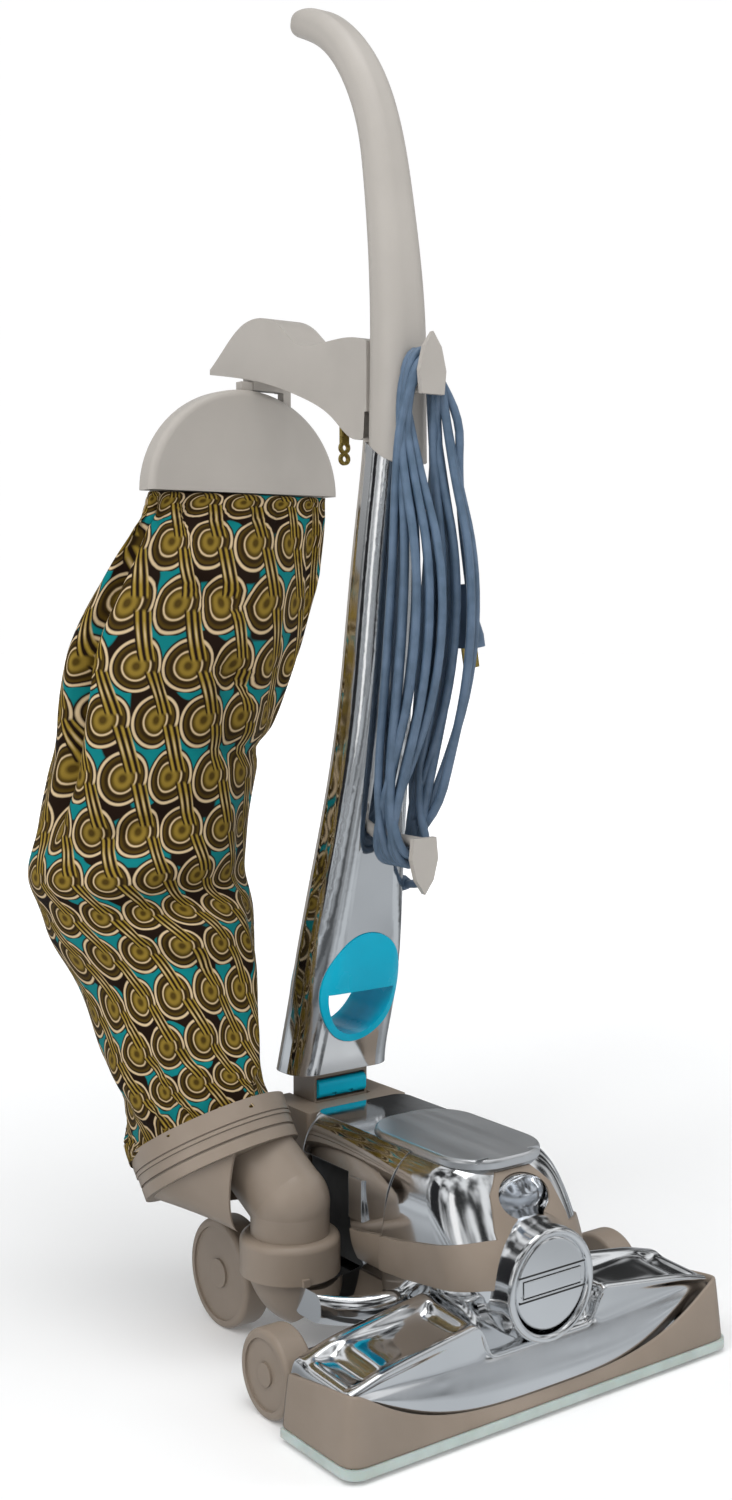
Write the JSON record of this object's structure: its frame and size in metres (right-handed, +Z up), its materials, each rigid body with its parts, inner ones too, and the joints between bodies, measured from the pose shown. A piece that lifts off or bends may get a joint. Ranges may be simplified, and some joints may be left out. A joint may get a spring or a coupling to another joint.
{
  "type": "upright vacuum cleaner",
  "caption": "Upright vacuum cleaner with polished metal base, floor nozzle, jointed curved handle, outside cloth bag and a hank of cord on two hooks",
  "frame": {"origin": "on the floor, in the middle of the footprint of the machine without its cord", "axes": "+Z up, -Y to the front where the floor nozzle is, +X to the side away from the bag"},
  "size_m": [0.4639, 0.4794, 1.1715],
  "materials": {
    "taupe_plastic": "satin moulded plastic, warm taupe",
    "grey_plastic": "fine-grained moulded plastic, warm light grey",
    "polished_metal": "polished cast aluminium, mirror bright",
    "dark_plastic": "black moulded plastic",
    "teal_plastic": "glossy teal plastic",
    "clear_lens": "clear moulded lens",
    "clear_strip": "milky soft vinyl strip",
    "steel": "machined steel",
    "roll_wood": "lacquered wood",
    "bristle": "nylon bristle",
    "rubber": "flat rubber belt",
    "printed_cloth": "printed cloth, brown rings on teal",
    "brass": "bright brass",
    "cord_sheath": "grey-blue vinyl sheath"
  },
  "bodies": {
    "base": {"nozzle_housing": "polished_metal", "nozzle_bumper": "taupe_plastic", "bumper_edge_strip": "clear_strip", "sole_plate": "dark_plastic", "chassis": "dark_plastic", "fan_case": "polished_metal", "motor_housing": "polished_metal", "motor_case": "dark_plastic", "top_lid": "polished_metal", "headlight_mask": "taupe_plastic", "motor_side_bands": "taupe_plastic", "headlight_lens": "clear_lens", "headlight_reflector": "polished_metal", "headlight_bulb": "clear_lens", "motor_stator": "steel", "motor_bearings": "steel", "drive_belt": "rubber", "exhaust_duct": "polished_metal", "exhaust_neck": "taupe_plastic", "exhaust_collar": "taupe_plastic", "emptor_elbow": "taupe_plastic", "emptor_scoop": "taupe_plastic", "bag_clamp_ring": "taupe_plastic", "bag_ring": "taupe_plastic", "cloth_bag": "printed_cloth", "tail_frame": "taupe_plastic", "pivot_pin": "steel", "rear_axle": "steel"},
    "handle": {"handle_fork": "taupe_plastic", "lower_handle_shell": "polished_metal", "lower_handle_back": "grey_plastic", "carry_grip": "teal_plastic", "upper_handle": "grey_plastic", "bag_hanger_arm": "grey_plastic", "hanger_latch_plate": "grey_plastic", "bag_top_clip": "grey_plastic", "bag_top_cover": "grey_plastic", "zipper_pull": "brass", "lower_cord_hook": "grey_plastic", "cord_gland": "cord_sheath", "cord_lead": "cord_sheath", "cord_hank": "cord_sheath", "power_plug": "cord_sheath", "plug_pins": "brass"},
    "front_carriage": {"front_axle_carriage": "dark_plastic"},
    "front_wheel_l": {"front_wheel_left": "taupe_plastic"},
    "front_wheel_r": {"front_wheel_right": "taupe_plastic"},
    "rear_wheel_l": {"rear_wheel_left": "taupe_plastic"},
    "rear_wheel_r": {"rear_wheel_right": "taupe_plastic"},
    "brush": {"brush_roll": "roll_wood", "brush_bristles": "bristle"},
    "rotor": {"motor_rotor": "steel", "fan_impeller": "dark_plastic"},
    "height_pedal": {"height_pedal": "dark_plastic"},
    "drive_pedal": {"drive_pedal": "dark_plastic"},
    "belt_lifter": {"belt_lifter_cap": "polished_metal"},
    "lifter_bar": {"belt_lifter_bar": "polished_metal"},
    "release_button": {"fork_release_button": "teal_plastic"},
    "switch": {"power_switch": "dark_plastic"},
    "cord_hook": {"upper_cord_hook": "grey_plastic"}
  },
  "joints": [
    {"name": "handle_recline", "type": "hinge", "parent": "base", "child": "handle", "pos_m": [0.03601, 0.06375, 0.168], "axis": [-1, 0, 0], "range_deg": [0, 70], "deforming": ["cloth_bag"]},
    {"name": "height_adjust", "type": "slide", "parent": "base", "child": "front_carriage", "axis": [0, 0, -1], "range_m": [0, 0.012]},
    {"name": "front_wheel_l_spin", "type": "hinge", "parent": "front_carriage", "child": "front_wheel_l", "pos_m": [-0.13699, -0.11225, 0.034], "axis": [1, 0, 0], "continuous": true},
    {"name": "front_wheel_r_spin", "type": "hinge", "parent": "front_carriage", "child": "front_wheel_r", "pos_m": [0.20901, -0.11225, 0.034], "axis": [1, 0, 0], "continuous": true},
    {"name": "rear_wheel_l_spin", "type": "hinge", "parent": "base", "child": "rear_wheel_l", "pos_m": [-0.07499, 0.05575, 0.046], "axis": [1, 0, 0], "continuous": true},
    {"name": "rear_wheel_r_spin", "type": "hinge", "parent": "base", "child": "rear_wheel_r", "pos_m": [0.14701, 0.05575, 0.046], "axis": [1, 0, 0], "continuous": true},
    {"name": "rotor_spin", "type": "hinge", "parent": "base", "child": "rotor", "pos_m": [0.03601, -0.17825, 0.106], "axis": [0, 1, 0], "continuous": true},
    {"name": "brush_spin", "type": "hinge", "parent": "base", "child": "brush", "pos_m": [0.03601, -0.19025, 0.036], "axis": [1, 0, 0], "continuous": true},
    {"name": "height_pedal_press", "type": "hinge", "parent": "base", "child": "height_pedal", "pos_m": [0.10401, -0.10225, 0.048], "axis": [-1, 0, 0], "range_deg": [0, 15]},
    {"name": "drive_pedal_rock", "type": "hinge", "parent": "base", "child": "drive_pedal", "pos_m": [0.03601, 0.10075, 0.053], "axis": [-1, 0, 0], "range_deg": [0, 12]},
    {"name": "belt_lifter_turn", "type": "hinge", "parent": "base", "child": "belt_lifter", "pos_m": [0.03601, -0.23025, 0.1], "axis": [0, -1, 0], "range_deg": [0, 180]},
    {"name": "lifter_bar_fold", "type": "hinge", "parent": "belt_lifter", "child": "lifter_bar", "pos_m": [0.03601, -0.23295, 0.0959], "axis": [1, 0, 0], "range_deg": [0, 85]},
    {"name": "release_press", "type": "slide", "parent": "handle", "child": "release_button", "axis": [0, 1, 0], "range_m": [0, 0.004], "stiffness_N_per_m": 800, "springref_m": -0.001},
    {"name": "switch_rock", "type": "hinge", "parent": "handle", "child": "switch", "pos_m": [0.03601, 0.01775, 1.0845], "axis": [1, 0, 0], "range_deg": [-8, 8]},
    {"name": "cord_hook_swivel", "type": "hinge", "parent": "handle", "child": "cord_hook", "pos_m": [0.03601, -0.06825, 0.808], "axis": [0, -1, 0], "range_deg": [0, 180]}
  ],
  "couplings": [
    {"joint": "brush_spin", "follows": "rotor_spin", "ratio": 0.45},
    {"joint": "height_pedal_press", "follows": "height_adjust", "rad_per_m": 21.8}
  ]
}
